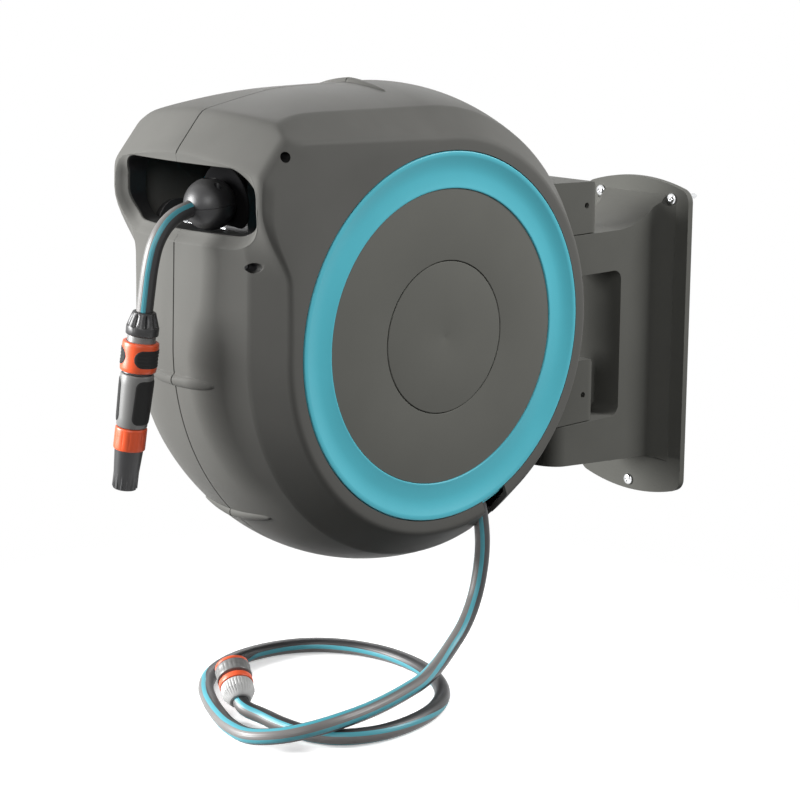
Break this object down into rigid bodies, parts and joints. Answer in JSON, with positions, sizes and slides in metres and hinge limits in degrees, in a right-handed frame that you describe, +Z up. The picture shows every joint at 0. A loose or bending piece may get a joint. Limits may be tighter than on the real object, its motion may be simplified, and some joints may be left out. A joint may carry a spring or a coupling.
{
  "type": "wall mounted hose reel",
  "caption": "Wall mounted automatic hose reel: swivelling round casing with spring drum, outlet window, hanging nozzle and supply hose, carried by a C-shaped wall bracket.",
  "frame": {"origin": "centre of the wall plate's back face, on the wall", "axes": "+Z up, +Y into the wall, so the reel stands out from the wall towards -Y and +X is to the right for someone who faces the wall"},
  "size_m": [0.3177, 0.7828, 0.616],
  "materials": {
    "casing_plastic": "fine grained moulded, warm dark grey",
    "cover_plastic": "smooth satin moulded, warm dark grey",
    "teal_plastic": "satin moulded",
    "bracket_plastic": "fine grained moulded, warm dark grey",
    "chrome_screw": "bright",
    "zinc_steel": "zinc plated",
    "dark_steel": "blackened",
    "bearing_plastic": "natural",
    "drum_plastic": "satin",
    "hose_rubber": "matt with teal stripes",
    "seal_rubber": "matt",
    "black_plastic": "satin",
    "grey_plastic": "satin",
    "orange_plastic": "satin",
    "light_grey_plastic": "satin"
  },
  "bodies": {
    "wall_bracket": {"wall_bracket": "bracket_plastic", "wall_screws": "chrome_screw", "pivot_bushes": "bearing_plastic"},
    "reel": {"casing_right": "casing_plastic", "casing_left": "casing_plastic", "side_ring_right": "teal_plastic", "side_ring_left": "teal_plastic", "side_cover_right": "cover_plastic", "side_cover_left": "cover_plastic", "hub_cap_right": "cover_plastic", "hub_cap_left": "cover_plastic", "casing_screws": "zinc_steel", "upper_knuckle": "bracket_plastic", "lower_knuckle": "bracket_plastic", "knuckle_bolts": "zinc_steel", "pivot_pins": "zinc_steel", "pin_lock_screws": "dark_steel", "guide_rod": "zinc_steel", "drive_belt": "seal_rubber", "spring_arbor": "zinc_steel", "mainspring": "dark_steel", "inlet_elbow": "drum_plastic", "inlet_seals": "seal_rubber", "drum_bushes": "bearing_plastic", "pawl_pin": "zinc_steel", "supply_hose": "hose_rubber", "supply_nut": "light_grey_plastic", "supply_connector": "orange_plastic"},
    "drum": {"drum_core": "drum_plastic", "drum_shaft": "drum_plastic", "drum_flange_right": "drum_plastic", "drum_flange_left": "drum_plastic", "wound_hose_core": "hose_rubber", "wound_hose": "hose_rubber", "drum_pulley": "bearing_plastic", "ratchet_wheel": "bearing_plastic"},
    "traverse_screw": {"traverse_screw": "zinc_steel", "screw_pulley": "bearing_plastic"},
    "carriage": {"hose_guide": "black_plastic", "stop_ball_upper": "black_plastic", "stop_ball_lower": "black_plastic", "stop_ball_screw": "zinc_steel", "hose_lead": "hose_rubber", "outlet_nut": "black_plastic", "outlet_connector": "grey_plastic", "nozzle_body": "grey_plastic", "nozzle_inlays": "black_plastic"},
    "outlet_sleeve": {"outlet_sleeve": "orange_plastic", "sleeve_grips": "black_plastic"},
    "nozzle_head": {"nozzle_ring": "orange_plastic", "nozzle_tip": "black_plastic"},
    "supply_sleeve": {"supply_sleeve": "grey_plastic"},
    "ratchet_pawl": {"ratchet_pawl": "zinc_steel"}
  },
  "joints": [
    {"name": "reel_swivel", "type": "hinge", "parent": "wall_bracket", "child": "reel", "pos_m": [0, -0.136, 0], "axis": [0, 0, 1], "range_deg": [-90, 90]},
    {"name": "drum_spin", "type": "hinge", "parent": "reel", "child": "drum", "pos_m": [0, -0.426, 0.071], "axis": [1, 0, 0], "continuous": true},
    {"name": "screw_spin", "type": "hinge", "parent": "reel", "child": "traverse_screw", "pos_m": [0, -0.604, 0.183], "axis": [1, 0, 0], "continuous": true},
    {"name": "carriage_slide", "type": "slide", "parent": "reel", "child": "carriage", "axis": [1, 0, 0], "range_m": [-0.091, 0.033]},
    {"name": "outlet_sleeve_slide", "type": "slide", "parent": "carriage", "child": "outlet_sleeve", "axis": [0.1041, 0.0959, 0.9899], "range_m": [0, 0.003], "stiffness_N_per_m": 600, "springref_m": -0.004},
    {"name": "nozzle_twist", "type": "hinge", "parent": "carriage", "child": "nozzle_head", "pos_m": [0.02, -0.7195, 0.121], "axis": [-0.1041, -0.0959, -0.9899], "range_deg": [0, 270]},
    {"name": "supply_sleeve_slide", "type": "slide", "parent": "reel", "child": "supply_sleeve", "axis": [0.7894, -0.3765, -0.4848], "range_m": [0, 0.0025], "stiffness_N_per_m": 600, "springref_m": -0.004},
    {"name": "pawl_swing", "type": "hinge", "parent": "reel", "child": "ratchet_pawl", "pos_m": [0, -0.385, 0.14201], "axis": [-1, 0, 0], "range_deg": [0, 12], "stiffness_Nm_per_rad": 0.02, "springref_deg": -11.46}
  ],
  "couplings": [
    {"joint": "screw_spin", "follows": "drum_spin", "ratio": 3}
  ]
}
